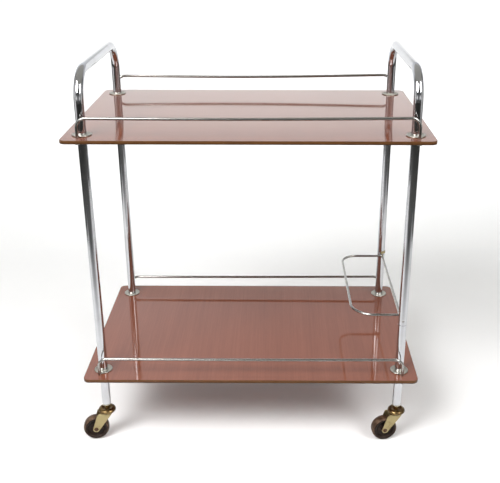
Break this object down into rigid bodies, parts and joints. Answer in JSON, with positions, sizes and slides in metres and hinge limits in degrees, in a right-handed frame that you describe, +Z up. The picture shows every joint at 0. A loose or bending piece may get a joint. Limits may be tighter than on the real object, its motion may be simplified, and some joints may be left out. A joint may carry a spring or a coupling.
{
  "type": "bar cart",
  "caption": "Bar cart with chromed tube hoops as handles and legs, wood-grain trays, slim guard rails, a wire bottle ring and brass swivel casters.",
  "frame": {"origin": "on the floor under the middle of the whole outline, casters included", "axes": "+Z up, +X along the trays to the right-hand hoop, -Y towards the front"},
  "size_m": [0.6674, 0.421, 0.75],
  "materials": {
    "chrome": "bright chrome plate on steel tube and rod, lightly worn",
    "zinc": "dull zinc-plated steel fastenings under the trays",
    "brass": "aged brass plate, dulled and spotted",
    "laminate": "reddish-brown wood-grain laminate with a high gloss and an orange-brown edge",
    "wheel": "dark brown moulded wheel with a scuffed tread",
    "steel": "darkened steel rivet"
  },
  "bodies": {
    "frame": {"hoop_left": "chrome", "hoop_right": "chrome", "leg_front_right": "chrome", "leg_rear_right": "chrome", "leg_spigot_front_right": "zinc", "leg_spigot_rear_right": "zinc", "tray_upper": "laminate", "collar_upper_front_left": "chrome", "under_collar_upper_front_left": "zinc", "collar_upper_front_right": "chrome", "under_collar_upper_front_right": "zinc", "collar_upper_rear_left": "chrome", "under_collar_upper_rear_left": "zinc", "collar_upper_rear_right": "chrome", "under_collar_upper_rear_right": "zinc", "rail_upper_front": "chrome", "rail_upper_rear": "chrome", "rail_nut_upper_front_left": "zinc", "rail_nut_upper_front_right": "zinc", "rail_nut_upper_rear_left": "zinc", "rail_nut_upper_rear_right": "zinc", "tray_lower": "laminate", "collar_lower_front_left": "chrome", "under_collar_lower_front_left": "zinc", "collar_lower_front_right": "chrome", "under_collar_lower_front_right": "zinc", "collar_lower_rear_left": "chrome", "under_collar_lower_rear_left": "zinc", "collar_lower_rear_right": "chrome", "under_collar_lower_rear_right": "zinc", "rail_lower_front": "chrome", "rail_lower_rear": "chrome", "rail_nut_lower_front_left": "zinc", "rail_nut_lower_front_right": "zinc", "rail_nut_lower_rear_left": "zinc", "rail_nut_lower_rear_right": "zinc", "leg_button_front_right": "chrome", "ring_rod": "chrome", "ring_bail": "chrome", "ring_clip_rear": "brass", "caster_socket_front_left": "chrome", "caster_socket_front_right": "chrome", "caster_socket_rear_left": "chrome", "caster_socket_rear_right": "chrome"},
    "caster_front_left": {"caster_hood_front_left": "brass", "caster_fork_front_left": "brass", "caster_axle_front_left": "steel"},
    "wheel_front_left": {"caster_wheel_front_left": "wheel"},
    "caster_front_right": {"caster_hood_front_right": "brass", "caster_fork_front_right": "brass", "caster_axle_front_right": "steel"},
    "wheel_front_right": {"caster_wheel_front_right": "wheel"},
    "caster_rear_left": {"caster_hood_rear_left": "brass", "caster_fork_rear_left": "brass", "caster_axle_rear_left": "steel"},
    "wheel_rear_left": {"caster_wheel_rear_left": "wheel"},
    "caster_rear_right": {"caster_hood_rear_right": "brass", "caster_fork_rear_right": "brass", "caster_axle_rear_right": "steel"},
    "wheel_rear_right": {"caster_wheel_rear_right": "wheel"}
  },
  "joints": [
    {"name": "caster_swivel_front_left", "type": "hinge", "parent": "frame", "child": "caster_front_left", "pos_m": [-0.28365, -0.1706, 0.08], "axis": [0, 0, 1], "continuous": true},
    {"name": "wheel_spin_front_left", "type": "hinge", "parent": "caster_front_left", "child": "wheel_front_left", "pos_m": [-0.30736, -0.17435, 0.0255], "axis": [-0.1564, 0.9877, 0], "continuous": true},
    {"name": "caster_swivel_front_right", "type": "hinge", "parent": "frame", "child": "caster_front_right", "pos_m": [0.30115, -0.1706, 0.08], "axis": [0, 0, 1], "continuous": true},
    {"name": "wheel_spin_front_right", "type": "hinge", "parent": "caster_front_right", "child": "wheel_front_right", "pos_m": [0.27744, -0.17435, 0.0255], "axis": [-0.1564, 0.9877, 0], "continuous": true},
    {"name": "caster_swivel_rear_left", "type": "hinge", "parent": "frame", "child": "caster_rear_left", "pos_m": [-0.28365, 0.1706, 0.08], "axis": [0, 0, 1], "continuous": true},
    {"name": "wheel_spin_rear_left", "type": "hinge", "parent": "caster_rear_left", "child": "wheel_rear_left", "pos_m": [-0.30736, 0.16685, 0.0255], "axis": [-0.1564, 0.9877, 0], "continuous": true},
    {"name": "caster_swivel_rear_right", "type": "hinge", "parent": "frame", "child": "caster_rear_right", "pos_m": [0.30115, 0.1706, 0.08], "axis": [0, 0, 1], "continuous": true},
    {"name": "wheel_spin_rear_right", "type": "hinge", "parent": "caster_rear_right", "child": "wheel_rear_right", "pos_m": [0.27744, 0.16685, 0.0255], "axis": [-0.1564, 0.9877, 0], "continuous": true}
  ]
}
